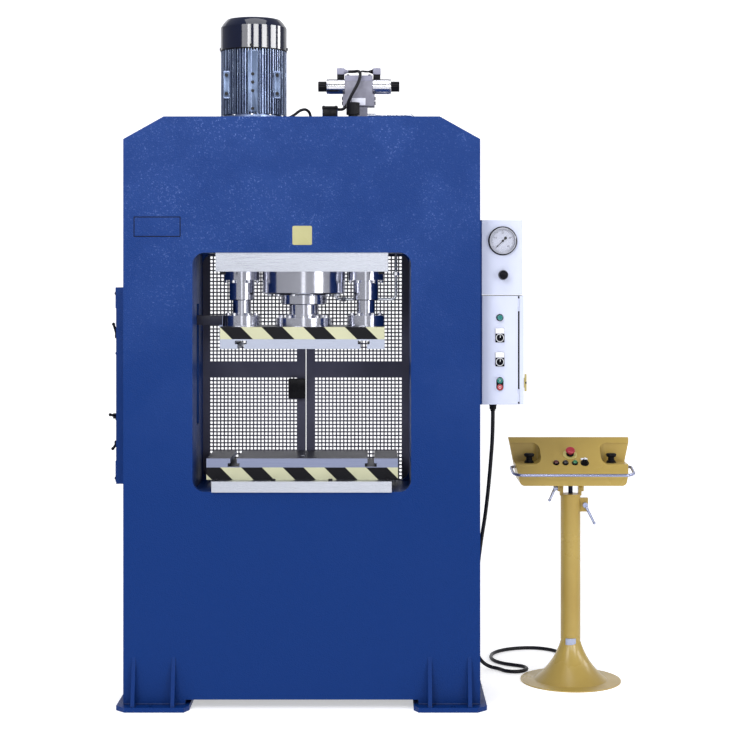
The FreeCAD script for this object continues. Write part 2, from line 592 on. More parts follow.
def make_ram():
    """Make the cylinder with its gland, the piston rod and the ring that bolts it down."""
    gland_top = "WindowHead - HeadPlateThick"
    gland_low = f"{gland_top} - GlandTall"
    barrel = [
        ("RodRadius + FitGap", gland_low), ("GlandRadius - GlandChamfer", gland_low),
        ("GlandRadius", f"{gland_low} + GlandChamfer"), ("GlandRadius", gland_top),
        ("BarrelRadius", gland_top), ("BarrelRadius", "BarrelTop"), ("0", "BarrelTop"),
        ("0", "BoreTop"), ("BoreRadius", "BoreTop"), ("BoreRadius", "BoreFloor"),
        ("RodRadius + FitGap", "BoreFloor"),
    ]
    keep(turned("barrel", barrel, ("0", "0", "0")), "cylinder_barrel")
    seat = "(PlatenLow + PlatenThick)"
    ring_top = f"{seat} + RamFlangeTall"
    end = f"{seat} + RodEndRise"
    rod = [
        ("0", seat), ("NeckRadius - SeatGap", seat), ("NeckRadius - SeatGap", ring_top),
        ("CollarRadius", ring_top), ("CollarRadius", f"{ring_top} + CollarTall"),
        ("NeckRadius", f"{ring_top} + CollarTall"), ("NeckRadius", end),
        ("RodRadius - RodChamfer", end), ("RodRadius", f"{end} + RodChamfer"),
        ("RodRadius", "PistonLow"), ("BoreRadius - FitGap", "PistonLow"),
        ("BoreRadius - FitGap", "PistonLow + PistonTall"), ("0", "PistonLow + PistonTall"),
    ]
    keep(turned("rod", rod, ("0", "0", "0")), "piston_rod")
    flange = rectangle("NeckRadius", "RamFlangeRadius", seat, ring_top)
    keep(turned("flange", flange, ("0", "0", "0")), "ram_flange")


def make_guides():
    """Make the two flanged bushes under the head plate and the two rods on the platen."""
    top = "(WindowHead - HeadPlateThick)"
    lip = f"{top} - BushFlangeTall"
    bore = "GuideRadius + FitGap"
    seat = "(PlatenLow + PlatenThick)"
    bushes = []
    rods = []
    for side, sign in (("left", "-"), ("right", "")):
        spot = (f"{sign}GuideReach", "0", "0")
        bush = [
            (bore, f"{lip} - BushTall"), ("BushRadius", f"{lip} - BushTall"),
            ("BushRadius", lip), ("BushFlangeRadius", lip), ("BushFlangeRadius", top),
            (bore, top),
        ]
        bushes.append(turned(f"{side}_bush", bush, spot))
        rod = [
            ("0", seat), ("GuideFootRadius", seat), ("GuideFootRadius", f"{seat} + GuideFootTall"),
            ("GuideRadius", f"{seat} + GuideFootTall"), ("GuideRadius", "GuideTop"),
            ("0", "GuideTop"),
        ]
        rods.append(turned(f"{side}_rod", rod, spot))
    keep(group("bush_pair", *bushes), "guide_bushes")
    keep(group("rod_pair", *rods), "guide_rods")


def make_trip_arm():
    """Make the arm on the platen's left end that reaches through the slot to the stroke stops."""
    seat = "(PlatenLow + PlatenThick)"
    side = "-PlatenWide/2"
    root = box("arm_root", (f"{side} - ArmRoot", side), ("-ArmHalf", "ArmHalf"),
               (f"{seat} - ArmRootDrop", f"{seat} + ArmLift + ArmTall"))
    reach = box("arm_reach", ("-ArmReach", side), ("-ArmHalf", "ArmHalf"),
                (f"{seat} + ArmLift", f"{seat} + ArmLift + ArmTall"))
    keep(join("arm", root, reach), "trip_arm")


# ---------------------------------------------------------------- power unit on the roof

def make_tank():
    """Make the oil tank under the roof and the gear pump that hangs in it."""
    deep = ("-TankHalf", "TankHalf")
    shell = box("tank_shell", ("TankLeft", "TankRight"), deep, ("TankLow", "FrameTall - RoofThick"))
    inside = box("tank_inside", ("TankLeft + TankWall", "TankRight - TankWall"),
                 ("-TankHalf + TankWall", "TankHalf - TankWall"),
                 ("TankLow + TankWall", "FrameTall"))
    keep(cut("tank", shell, inside), "oil_tank")
    block = box("pump_block", ("MotorX - PumpHalf", "MotorX + PumpHalf"), ("-PumpHalf", "PumpHalf"),
                ("PumpLow", "PumpLow + PumpTall"))
    bell = round_bar("pump_bell", ("MotorX", "0", "PumpLow + PumpTall - 1"), "BellRadius",
                     "FrameTall - PumpLow - PumpTall + 1")
    keep(join("pump", block, bell), "gear_pump")


def make_motor():
    """Make the motor: flange, core, a ring of cooling fins, foot bosses and terminal box."""
    body = doc.addObject("PartDesign::Body", "motor")
    steps = [
        ("flange", None, "MotorFlangeTall", [], [("0", "0", "MotorFlangeRadius")]),
        ("core", None, "BodyTall", [], [("0", "0", "CoreRadius")]),
        ("bosses", "BossLift", "BossTall", [
            rectangle(f"({sign})*BossReach - BossWide/2", f"({sign})*BossReach + BossWide/2",
                      "-BossFront - BossDeep/2", "-BossFront + BossDeep/2")
            for sign in (-1, 1)], []),
        ("terminals", "TerminalLift", "TerminalTall", [
            rectangle("-TerminalWide/2", "TerminalWide/2", "CoreRadius - 10", "TerminalReach")],
         []),
        ("fin", "FinLift", "BodyTall - FinLift", [
            rectangle("CoreRadius - 4", "FinRadius", "-FinHalf", "FinHalf")], []),
    ]
    for name, lift, tall, outlines, rings in steps:
        sketch = sketch_in(body, f"motor_{name}_sketch", "XY_Plane", lift)
        for corners in outlines:
            draw(sketch, corners)
        for hole in rings:
            ring(sketch, *hole)
        pad = body.newObject("PartDesign::Pad", f"motor_{name}")
        pad.Profile = sketch
        pad.setExpression("Length", sized(tall))
        doc.recompute()
    fins = body.newObject("PartDesign::PolarPattern", "motor_fins")
    fins.Originals = [pad]
    axis = [f for f in body.Origin.OriginFeatures if f.Role == "Z_Axis"][0]
    fins.Axis = (axis, [""])
    fins.Angle = 360
    fins.setExpression("Occurrences", sized("FinCount"))
    body.Tip = fins
    keep(place(body, ("MotorX", "0", "FrameTall")), "motor_body")


def make_fan():
    """Make the fan cover with its ring of vents and the fan that turns inside it."""
    body = doc.addObject("PartDesign::Body", "fan_hood")
    profile = sketch_in(body, "fan_hood_profile", "XZ_Plane")
    draw(profile, [
        ("CoverRadius", "0"), ("CoverRadius", "CoverTall"),
        ("DomeRadius + 10", "CoverTall + DomeTall/2 + 6", "arc"),
        ("DomeRadius", "CoverTall + DomeTall"), ("0", "CoverTall + DomeTall + CrestTall"),
        ("0", "CoverTall + DomeTall + CrestTall - CoverWall"),
        ("DomeRadius - CoverWall", "CoverTall + DomeTall - CoverWall"),
        ("CoverRadius - CoverWall", "CoverTall - CoverWall"), ("CoverRadius - CoverWall", "0"),
    ])
    shell = body.newObject("PartDesign::Revolution", "fan_hood_turning")
    shell.Profile = profile
    shell.ReferenceAxis = (profile, ["V_Axis"])
    shell.Angle = 360
    doc.recompute()
    vent = sketch_in(body, "vent_outline", "XY_Plane", "CoverTall + DomeTall + CrestTall + 2")
    draw(vent, rectangle("VentInner", "VentOuter", "-VentHalf", "VentHalf"))
    slot = body.newObject("PartDesign::Pocket", "vent")
    slot.Profile = vent
    slot.setExpression("Length", sized("VentDepth"))
    doc.recompute()
    vents = body.newObject("PartDesign::PolarPattern", "vents")
    vents.Originals = [slot]
    vents.Axis = ([f for f in body.Origin.OriginFeatures if f.Role == "Z_Axis"][0], [""])
    vents.Angle = 360
    vents.setExpression("Occurrences", sized("VentCount"))
    body.Tip = vents
    base = "FrameTall + BodyTall"
    keep(place(body, ("MotorX", "0", base)), "fan_cover")
    hub = round_bar("fan_hub", ("MotorX", "0", f"{base} + SeatGap"), "FanHub",
                    "FanLift + FanTall")
    blades = []
    for number in range(SIZES["motor"]["FanCount"]):
        blade = box(f"fan_blade_{number}", ("MotorX", "MotorX + FanRadius"),
                    ("-FanBladeHalf", "FanBladeHalf"), (f"{base} + FanLift",
                                                       f"{base} + FanLift + FanTall"))
        swing = FreeCAD.Rotation(FreeCAD.Vector(0, 0, 1), 360 * number / worth("FanCount"))
        arm = swing.multVec(FreeCAD.Vector(0, -worth("FanBladeHalf"), 0))
        place(blade, (f"MotorX + ({arm.x:.4f})", f"{arm.y:.4f}", f"{base} + FanLift"), swing)
        blades.append(blade)
    keep(join("fan", hub, *blades), "motor_fan")


def make_valve():
    """Make the solenoid valve on its subplate and riser, with both coils and their plugs."""
    riser = box("riser", ("ValveX - RiserHalf", "ValveX + RiserHalf"), ("-RiserDeep", "RiserDeep"),
                ("FrameTall", "SubplateLow"))
    subplate = box("subplate", ("ValveX - SubplateHalf", "ValveX + SubplateHalf"),
                   ("-SubplateDeep", "SubplateDeep"), ("SubplateLow", "SubplateLow + SubplateTall"))
    keep(join("manifold", riser, subplate), "valve_manifold")
    low = "(SubplateLow + SubplateTall)"
    body = box("valve_block", ("ValveX - ValveHalf", "ValveX + ValveHalf"),
               ("-ValveDeep", "ValveDeep"), (low, f"{low} + ValveTall"))
    keep(body, "directional_valve")
    parts = []
    for side, sign, turn in (("left", -1, LEFT), ("right", 1, RIGHT)):
        start = f"ValveX + ({sign})*ValveHalf"
        coil = round_bar(f"{side}_coil", (start, "0", "CoilZ"), "CoilRadius", "CoilLong", turn)
        nut = round_bar(f"{side}_nut", (f"{start} + ({sign})*CoilLong", "0", "CoilZ"),
                        "NutRadius", "NutLong", turn)
        near = f"({start} + ({sign})*2)"
        far = f"({start} + ({sign})*(2 + PlugWide))"
        plug = box(f"{side}_plug", (far, near) if sign < 0 else (near, far),
                   ("-PlugHalf", "PlugHalf"), ("CoilZ + CoilRadius - 6", "PlugLow + PlugTall"))
        spout = taper(f"{side}_spout", (near, "0", "PlugLow + PlugTall - SpoutTall/2 - 2"),
                      "SpoutTall/2 - 1", "SpoutTall/4", "SpoutLong", RIGHT if sign < 0 else LEFT)
        parts.append(join(f"{side}_solenoid", coil, nut, plug, spout))
    keep(group("solenoid_pair", *parts), "solenoids")


def make_roof_fittings():
    """Make the filler cap, the leads of the valve and the motor, and the oil lines."""
    neck = round_bar("cap_neck", ("CapX", "CapY", "FrameTall"), "CapNeck", "CapLift")
    cap = round_bar("cap_top", ("CapX", "CapY", "FrameTall + CapLift"), "CapRadius", "CapTall")
    keep(join("filler", neck, cap), "filler_cap")
    valve_lead = tube("valve_lead", VALVE_LEAD_ROUTE, worth("ValveLeadRadius"))
    valve_spur = tube("valve_spur", VALVE_SPUR_ROUTE, worth("ValveSpurRadius"))
    motor_lead = tube("motor_lead", MOTOR_LEAD_ROUTE, worth("MotorLeadRadius"))
    keep(group("leads", join("valve_leads", valve_lead, valve_spur), motor_lead), "roof_leads")
    pipe = tube("cylinder_pipe", CYLINDER_PIPE_ROUTE, worth("PipeRadius"),
                [worth("PipeBend")] * 2)
    hoses = [
        tube(name, [(x, y, z) for x, z in ROOF_HOSE_ROUTE], worth("HoseRadius"),
             [worth("HoseBend")])
        for name, y in (("pressure_hose", -worth("HoseReach")), ("return_hose", worth("HoseReach")))
    ]
    keep(group("oil_line_pair", pipe, *hoses), "oil_lines")


# ---------------------------------------------------------------- doors and covers

def make_rear_doors():
    """Make the two perforated rear doors; the left one carries the interlock box."""
    back = "FrameDeep/2"
    for side, sign in (("left", -1), ("right", 1)):
        skin = rectangle("DoorGap/2", "DoorHalf", "DoorLow", "DoorHigh")
        holes = []
        for low, rows in (("FieldLow", "LowRows"), ("FieldUpper", "UpperRows")):
            for row in range(int(worth(rows))):
                for column in range(int(worth("FieldColumns"))):
                    x = f"FieldInner + {column}*FieldPitch"
                    z = f"{low} + {row}*FieldPitch"
                    holes.append(rectangle(x, f"{x} + FieldHole", z, f"{z} + FieldHole"))
        mirror = [[(f"({sign})*({x})", z) for x, z in corners] for corners in [skin, *holes]]
        body = doc.addObject("PartDesign::Body", f"{side}_rear_skin")
        sketch = sketch_in(body, f"{side}_rear_outline", "XZ_Plane")
        draw(sketch, mirror[0])
        for hole in mirror[1:]:
            draw(sketch, hole, pinned=False)
        pad = body.newObject("PartDesign::Pad", f"{side}_rear_pad")
        pad.Profile = sketch
        pad.setExpression("Length", sized("SheetThick"))
        pad.Reversed = True
        place(body, ("0", f"{back} + DoorStand", "0"))
        inner = f"({sign})*(DoorGap/2)"
        edge = f"({sign})*(DoorGap/2 + DoorFold)"
        outer = f"({sign})*DoorHalf"
        border = f"({sign})*(DoorHalf - DoorFold)"
        spans = [(inner, edge), (border, outer)]
        folds = []
        for i, (a, b) in enumerate(spans):
            across = (a, b) if sign > 0 else (b, a)
            folds.append(box(f"{side}_rear_stile_{i}", across,
                             (f"{back} + DoorStand + SheetThick - 1", f"{back} + DoorDeep"),
                             ("DoorLow", "DoorHigh")))
        hinge = f"({sign})*HingeX"
        reach = (f"{outer} - ({sign})*2", hinge)
        for i, low in enumerate(("HingeLow", "HingeHigh")):
            folds.append(round_bar(f"{side}_rear_knuckle_{i}", (hinge, "HingeY", low),
                                   "HingeRadius", "HingeLong"))
            folds.append(box(f"{side}_rear_leaf_{i}", reach if sign > 0 else reach[::-1],
                             ("HingeY - HingeLeaf", "HingeY + HingeLeaf"),
                             (low, f"{low} + HingeLong")))
        if sign < 0:
            folds.append(box("interlock", ("-InterlockWide - 1", "-1 - DoorGap/2"),
                             (f"{back} - InterlockDeep", f"{back} + DoorStand + 1"),
                             ("InterlockLow", "InterlockLow + InterlockTall")))
        keep(join(f"{side}_rear_weld", body, *folds), f"rear_door_{side}")


def make_side_cover():
    """Make the slotted cover of the stroke stops and its three clamp levers."""
    wall = "-FrameWide/2"
    outer = box("cover_outer", (f"{wall} - CoverReach", wall), ("-CoverHalf", "CoverHalf"),
                ("CoverLow", "CoverHigh"))
    inner = box("cover_inner", (f"{wall} - CoverReach + SheetThick", f"{wall} + 1"),
                ("-CoverHalf + SheetThick", "CoverHalf - SheetThick"),
                ("CoverLow + SheetThick", "CoverHigh - SheetThick"))
    slot = box("cover_slot", (f"{wall} - CoverReach - 1", f"{wall} - CoverReach + SheetThick + 1"),
               ("-LeverSlotHalf", "LeverSlotHalf"), ("LeverSlotLow", "LeverSlotHigh"))
    strips = [
        box(f"cover_strip_{i}", (f"{wall} - CoverReach - StripThick", f"{wall} - CoverReach + 1"),
            ("-StripHalf", "StripHalf"), (low, f"{low} + StripTall"))
        for i, low in enumerate(("CoverLow + 2", "CoverHigh - StripTall"))
    ]
    keep(join("cover_weld", cut("cover_shell", outer, inner, slot), *strips), "side_cover")
    face = f"{wall} - CoverReach"
    for name, aim in (("Upper", (-0.30, -0.10, 0.95)), ("Middle", (-0.35, -0.92, 0.18)),
                      ("Lower", (-0.20, -0.90, -0.35))):
        clamp_lever(f"{name.lower()}_stop_lever", (f"{face} - SeatGap", "0", f"{name}LeverZ"),
                    LEFT, (-1, 0, 0), f"{name}LeverHub", aim, "StopLeverLong")


def clamp_lever(label, spot, turn, outward, hub, aim, long):
    """Make a clamp lever: a hub on a stud, a tapered arm that leans out, and its end ball."""
    barrel = round_bar(f"{label}_hub", spot, "LeverHub", hub, turn)
    sunk = tuple(f"{text} - ({side})*StudSunk" for text, side in zip(spot, outward))
    stud = round_bar(f"{label}_stud", sunk, "LeverStud", "StudSunk + 2", turn)
    root = tuple(f"{text} + ({side})*({hub})*0.6" for text, side in zip(spot, outward))
    way = FreeCAD.Vector(*aim).normalize()
    arm = taper(f"{label}_arm", root, "LeverRoot", "LeverTip", long, facing(way))
    tip = tuple(f"{text} + ({part:.4f})*{long}" for text, part in zip(root, way))
    end = ball(f"{label}_ball", tip, "LeverBall")
    return keep(join(f"{label}_cast", barrel, stud, arm, end), label)


# ---------------------------------------------------------------- boxes on the right

def make_boxes():
    """Make the gauge box, and the cabinet with its mounting plate, contactors and main switch."""
    left = "FrameWide/2 + BracketThick"
    shell = box("gauge_box_shell", (left, "GaugeBoxRight"), ("BoxFront", "BoxBack"),
                ("GaugeBoxLow", "GaugeBoxHigh"))
    hollow = box("gauge_box_hollow", (f"{left} + SheetThick", "GaugeBoxRight - SheetThick"),
                 ("BoxFront + SheetThick", "BoxBack - SheetThick"),
                 ("GaugeBoxLow + SheetThick", "GaugeBoxHigh - SheetThick"))
    keep(cut("gauge_box_cut", shell, hollow), "gauge_box")
    case = box("cabinet_case", (left, "CabinetRight"), ("CabinetFront", "BoxBack"),
               ("CabinetLow", "CabinetHigh"))
    room = box("cabinet_room", (f"{left} + SheetThick", "CabinetRight - SheetThick"),
               ("CabinetFront + SheetThick", "BoxBack - SheetThick"),
               ("CabinetLow + SheetThick", "CabinetHigh - SheetThick"))
    mouth = box("cabinet_mouth", (f"{left} + MouthEdge", "DoorRight - MouthEdge"),
                ("CabinetFront - 1", "CabinetFront + SheetThick + 1"),
                ("CabinetLow + MouthEdge", "CabinetHigh - MouthEdge"))
    contactors = [
        box(f"contactor_{i}", (f"{left} + ContactorLeft", "CabinetRight - ContactorRight"),
            ("BoxBack - SheetThick - ContactorDeep", "BoxBack - SheetThick + 1"),
            (low, f"{low} + ContactorTall"))
        for i, low in enumerate(f"CabinetLow + ContactorLow + {n}*ContactorStep"
                                for n in range(3))
    ]
    base = round_bar("switch_base", ("CabinetRight - 1", "SwitchY", "SwitchZ"), "SwitchRadius",
                     "SwitchThick + 1", RIGHT)
    lock = round_bar("side_lock", ("CabinetRight - 1", "SwitchY", "SwitchZ + LockRise"),
                     "LockRadius", "LockLong", RIGHT)
    hinges = []
    for i, low in enumerate(("CabinetLow + KnuckleRise + KnuckleLong + SeatGap",
                             "CabinetHigh - KnuckleRise + SeatGap - KnuckleLong*1.5")):
        hinges.append(round_bar(f"case_knuckle_{i}", ("KnuckleX", "DoorFront", low),
                                "KnuckleRadius", "KnuckleLong/2 - 2*SeatGap"))
        hinges.append(box(f"case_leaf_{i}", ("KnuckleX - 1", "KnuckleX + KnuckleRadius"),
                          ("DoorFront", "CabinetFront + 1"),
                          (low, f"{low} + KnuckleLong/2 - 2*SeatGap")))
    keep(join("cabinet", cut("cabinet_cut", case, room, mouth), *contactors, base, lock, *hinges),
         "cabinet_box")
    start = "CabinetRight + SwitchThick + SeatGap"
    grip = box("switch_grip", (f"{start} + HandleThick - 1", f"{start} + HandleReach"),
               ("SwitchY - 7", "SwitchY + 7"), ("SwitchZ - HandleHalf", "SwitchZ + HandleHalf"))
    disc = round_bar("switch_disc", (start, "SwitchY", "SwitchZ"), "SwitchRadius - 3",
                     "HandleThick", RIGHT)
    keep(join("switch_turn", disc, grip), "main_switch_handle")


def make_cabinet_door():
    """Make the cabinet door with its lamp and plates, the two selectors and the two buttons."""
    left = "FrameWide/2 + BracketThick + 1"
    face = "DoorFront"
    skin = box("door_skin", (left, "DoorRight"), (face, f"{face} + DoorThick"),
               ("CabinetLow + 1", "CabinetHigh - 1"))
    parts = [skin]
    for i, low in enumerate(("CabinetLow + KnuckleRise",
                             "CabinetHigh - KnuckleRise - KnuckleLong")):
        parts.append(round_bar(f"door_knuckle_{i}", ("KnuckleX", face, low), "KnuckleRadius",
                               "KnuckleLong"))
        parts.append(box(f"door_leaf_{i}", ("DoorRight - 1", "KnuckleX"),
                         (face, f"{face} + DoorThick/2"), (low, f"{low} + KnuckleLong")))
    parts.append(round_bar("door_lamp", ("PanelX", f"{face} + 1", "LampZ"), "LampRadius",
                           "LampTall + 1", FRONT))
    for name, height in (("upper", "SelectorUpperZ"), ("lower", "SelectorLowerZ")):
        parts.append(box(f"{name}_selector_plate", ("PanelX - PlateHalf", "PanelX + PlateHalf"),
                         (f"{face} - PlateThick", f"{face} + 1"),
                         (f"{height} - PlateHalf", f"{height} - PlateHalf + PlateTall")))
    middle = "(StartZ + StopZ)/2"
    capsule = box("capsule", ("PanelX - CapsuleHalf", "PanelX + CapsuleHalf"),
                  (f"{face} - CapsuleThick", f"{face} + 1"),
                  (f"{middle} - CapsuleTall/2", f"{middle} + CapsuleTall/2"))
    wells = [
        round_bar(f"{name}_well", ("PanelX", face, height), "ButtonRadius + ButtonEase", "20",
                  FRONT)
        for name, height in (("start", "StartZ"), ("stop", "StopZ"))
    ]
    keep(join("door", *parts, cut("capsule_cut", capsule, *wells)), "cabinet_door")
    for name, height in (("upper", "SelectorUpperZ"), ("lower", "SelectorLowerZ")):
        front = f"{face} - PlateThick - SeatGap"
        knob = round_bar(f"{name}_knob", ("PanelX", front, height), "SelectorRadius",
                         "SelectorTall", FRONT)
        grip = box(f"{name}_grip", ("PanelX - GripHalf", "PanelX + GripHalf"),
                   (f"{front} - SelectorTall - GripTall", f"{front} - SelectorTall + 1"),
                   (f"{height} - SelectorRadius + 2", f"{height} + SelectorRadius - 2"))
        keep(join(f"{name}_selector_turn", knob, grip), f"selector_{name}")
    for name, height in (("start", "StartZ"), ("stop", "StopZ")):
        button = round_bar(f"{name}_cap", ("PanelX", f"{face} - ButtonBack", height),
                           "ButtonRadius", "ButtonTall", FRONT)
        keep(button, f"{name}_button")


def make_gauge():
    """Make the pressure gauge, its needle at zero and the regulator knob below."""
    spot = ("GaugeX", "BoxFront", "GaugeZ")
    case = [
        ("0", "0"), ("GaugeRim", "0"), ("GaugeRim", "RimThick"), ("GaugeRing", "RimThick + 2"),
        ("GaugeRing", "RingDeep"), ("DialRadius", "RingDeep"), ("DialRadius", "DialDeep"),
        ("0", "DialDeep"),
    ]
    keep(turned("gauge_case", case, spot, FRONT), "pressure_gauge")
    front = "BoxFront - DialDeep - SeatGap"
    hub = round_bar("needle_hub", ("GaugeX", front, "GaugeZ"), "NeedleHub", "NeedleWide*1.25",
                    FRONT)
    sweep = FreeCAD.Rotation(FreeCAD.Vector(0, 1, 0), worth("NeedleRest"))
    blade = doc.addObject("Part::Box", "needle_blade")
    blade.setExpression("Length", sized("NeedleWide"))
    blade.setExpression("Width", sized("NeedleWide/2"))
    blade.setExpression("Height", sized("NeedleLong + NeedleTail"))
    shift = sweep.multVec(FreeCAD.Vector(-worth("NeedleWide") / 2, 0, -worth("NeedleTail")))
    place(blade, (f"GaugeX + ({shift.x:.4f})", f"{front} - NeedleWide",
                  f"GaugeZ + ({shift.z:.4f})"), sweep)
    keep(join("needle", hub, blade), "gauge_needle")
    start = "BoxFront - SeatGap"
    collar = round_bar("knob_collar", ("KnobX", start, "KnobZ"), "KnobRadius - 6",
                       "CollarLong + 1", FRONT)
    grip = taper("knob_grip", ("KnobX", f"{start} - CollarLong", "KnobZ"), "KnobRadius",
                 "KnobRadius - 2", "KnobLong - CollarLong", FRONT)
    keep(join("knob", collar, grip), "regulator_knob")


def make_gland():
    """Make the cable gland under the cabinet."""
    nut = round_bar("gland_nut", ("GlandX", "GlandY", "CabinetLow - GlandNutTall"),
                    "GlandHexRadius", "GlandNutTall")
    tail = taper("gland_tail", ("GlandX", "GlandY", "CabinetLow - GlandNutTall - GlandTailTall"),
                 "CordRadius + 2", "GlandHexRadius - 2", "GlandTailTall")
    keep(join("gland", nut, tail), "cable_gland")


# ---------------------------------------------------------------- console

def at_stand(across="0", deep="0"):
    """Return the X and Y expressions of a point given from the stand's axis."""
    return f"StandX + ({across})", f"StandY + ({deep})"


def make_stand():
    """Make the spun foot and column of the stand, with the split clamp ears at its top."""
    flare = [
        ("ColumnBore", "FlareTop - 20"), ("ColumnBore", "ColumnTop"), ("ColumnRadius", "ColumnTop"),
        ("ColumnRadius", "FlareTop"), ("FlareMidRadius", "FlareMidZ", "arc"),
        ("FlareRadius", "DiscThick"), ("FootRadius", "DiscThick - 2"), ("FootRadius", "0"),
        ("FlareRadius - 4", "0"), ("FlareMidRadius - 8", "FlareMidZ - 22", "arc"),
    ]
    stand = turned("stand", flare, (*at_stand(), "0"))
    ears = box("clamp_ears", ("StandX + ColumnRadius - 4", "StandX + EarReach"),
               ("StandY - EarHalf", "StandY + EarHalf"), ("EarLow", "EarHigh"))
    split = box("clamp_split", ("StandX + ColumnBore - 1", "StandX + EarReach + 1"),
                ("StandY - SplitHalf", "StandY + SplitHalf"),
                ("EarLow - SplitDrop", "ColumnTop + 1"))
    stud_hole = round_bar("clamp_stud_hole", (*at_stand("EarStudX", "-EarHalf - 1"), "EarStudZ"),
                          "LeverStud + FitGap", "2*EarHalf + 2", BACK)
    tail = taper("stand_gland", (*at_stand("0", "CordGlandY"), "CordGlandZ"), "CordGlandRadius",
                 "CordGlandRadius - 3", "CordGlandLong", BACK)
    keep(join("stand_weld", cut("stand_split", join("stand_ears", stand, ears), split, stud_hole),
              tail),
         "console_stand")
    clamp_lever("height_lever", (*at_stand("EarStudX", "-EarHalf - SeatGap"), "EarStudZ"), FRONT,
                (0, -1, 0), "HeightLeverHub", (0.42, -0.42, -0.90), "HeightLeverLong")


def make_post():
    """Make the sliding post with the fork that carries the head, and the lead that runs in it."""
    post = round_bar("post_tube", (*at_stand(), "PostLow"), "PostRadius", "PostTop - PostLow")
    cap = round_bar("post_cap", (*at_stand(), "PostTop"), "ColumnRadius", "PostCapTop - PostTop")
    bore = round_bar("post_bore", (*at_stand(), "PostLow - 1"), "PostBore",
                     "PostTop - PostLow + 1")
    lead_hole = round_bar("post_lead_hole", (*at_stand(), "PostTop - 1"), "LeadRadius + FitGap",
                          "PostCapTop - PostTop + 2")
    prongs = []
    holes = []
    for side, low, high in (("left", "-ProngOuter", "-ProngInner"),
                            ("right", "ProngInner", "ProngOuter")):
        prongs.append(box(f"{side}_prong", (f"StandX + ({low})", f"StandX + ({high})"),
                          ("StandY - ProngHalf", "StandY + ProngHalf"), ("PostTop + 1", "TiltZ")))
        prongs.append(round_bar(f"{side}_prong_eye", (f"StandX + ({low})", "StandY", "TiltZ"),
                                "ProngHalf", "ProngOuter - ProngInner", RIGHT))
        holes.append(round_bar(f"{side}_prong_hole", (f"StandX + ({low}) - 1", "StandY", "TiltZ"),
                               "HingeBoltRadius + FitGap", "ProngOuter - ProngInner + 2", RIGHT))
    fork = join("post_weld", post, cap, *prongs)
    keep(cut("post_cut", fork, bore, lead_hole, *holes), "console_post")
    lead = round_bar("head_lead_run", (*at_stand(), "LeadLow"), "LeadRadius",
                     "LeadTop - LeadLow")
    keep(lead, "head_lead")


def softened(before, corner, after, radius):
    """Return the start, the middle and the end of the arc that rounds a corner."""
    tip, back, on = (FreeCAD.Vector(worth(a), worth(b), 0) for a, b in (corner, before, after))
    ways = [(back - tip).normalize(), (on - tip).normalize()]
    half = ways[0].getAngle(ways[1]) / 2
    start, end = (tip + way * (worth(radius) / math.tan(half)) for way in ways)
    middle = tip + (ways[0] + ways[1]).normalize() * worth(radius) * (1 / math.sin(half) - 1)
    return [(f"{start.x:.4f}", f"{start.y:.4f}"), (f"{middle.x:.4f}", f"{middle.y:.4f}", "arc"),
            (f"{end.x:.4f}", f"{end.y:.4f}")]


def head_outline():
    """Return the head's front outline: its ends lean out, its lower corners are rounded."""
    low_left = ("-HeadHalfLow", "HeadLow")
    low_right = ("HeadHalfLow", "HeadLow")
    top_left = ("-HeadHalfTop", "HeadTop")
    top_right = ("HeadHalfTop", "HeadTop")
    return [top_left, *softened(top_left, low_left, low_right, "HeadRound"),
            *softened(low_left, low_right, top_right, "HeadRound"), top_right]


def head_pocket(name, sign):
    """Make the scoop of one hand: open to the front and the side, with round inner corners."""
    near = f"({sign})*PocketInner"
    far = f"({sign})*(HeadHalfTop + 2)"
    mouth = "HeadFront - 1"
    low, high = (near, "PocketFloor"), (near, "PocketRoof")
    upright = [(far, "PocketFloor"), *softened((far, "PocketFloor"), low, high, "PocketRound"),
               *softened(low, high, (far, "PocketRoof"), "PocketRound"), (far, "PocketRoof")]
    level = [(far, mouth), (near, mouth),
             *softened((near, mouth), (near, "PocketBack"), (far, "PocketBack"), "PocketSweep"),
             (far, "PocketBack")]
    seen = padded(f"{name}_front", "XZ_Plane", upright, "PocketBack - HeadFront + 2",
                  (*at_stand("0", mouth), "0"))
    plan = padded(f"{name}_plan", "XY_Plane", level, "PocketRoof - PocketFloor + 2",
                  (*at_stand(), "PocketFloor - 1"))
    scoop = doc.addObject("Part::MultiCommon", name)
    scoop.Shapes = [seen, plan]
    return scoop


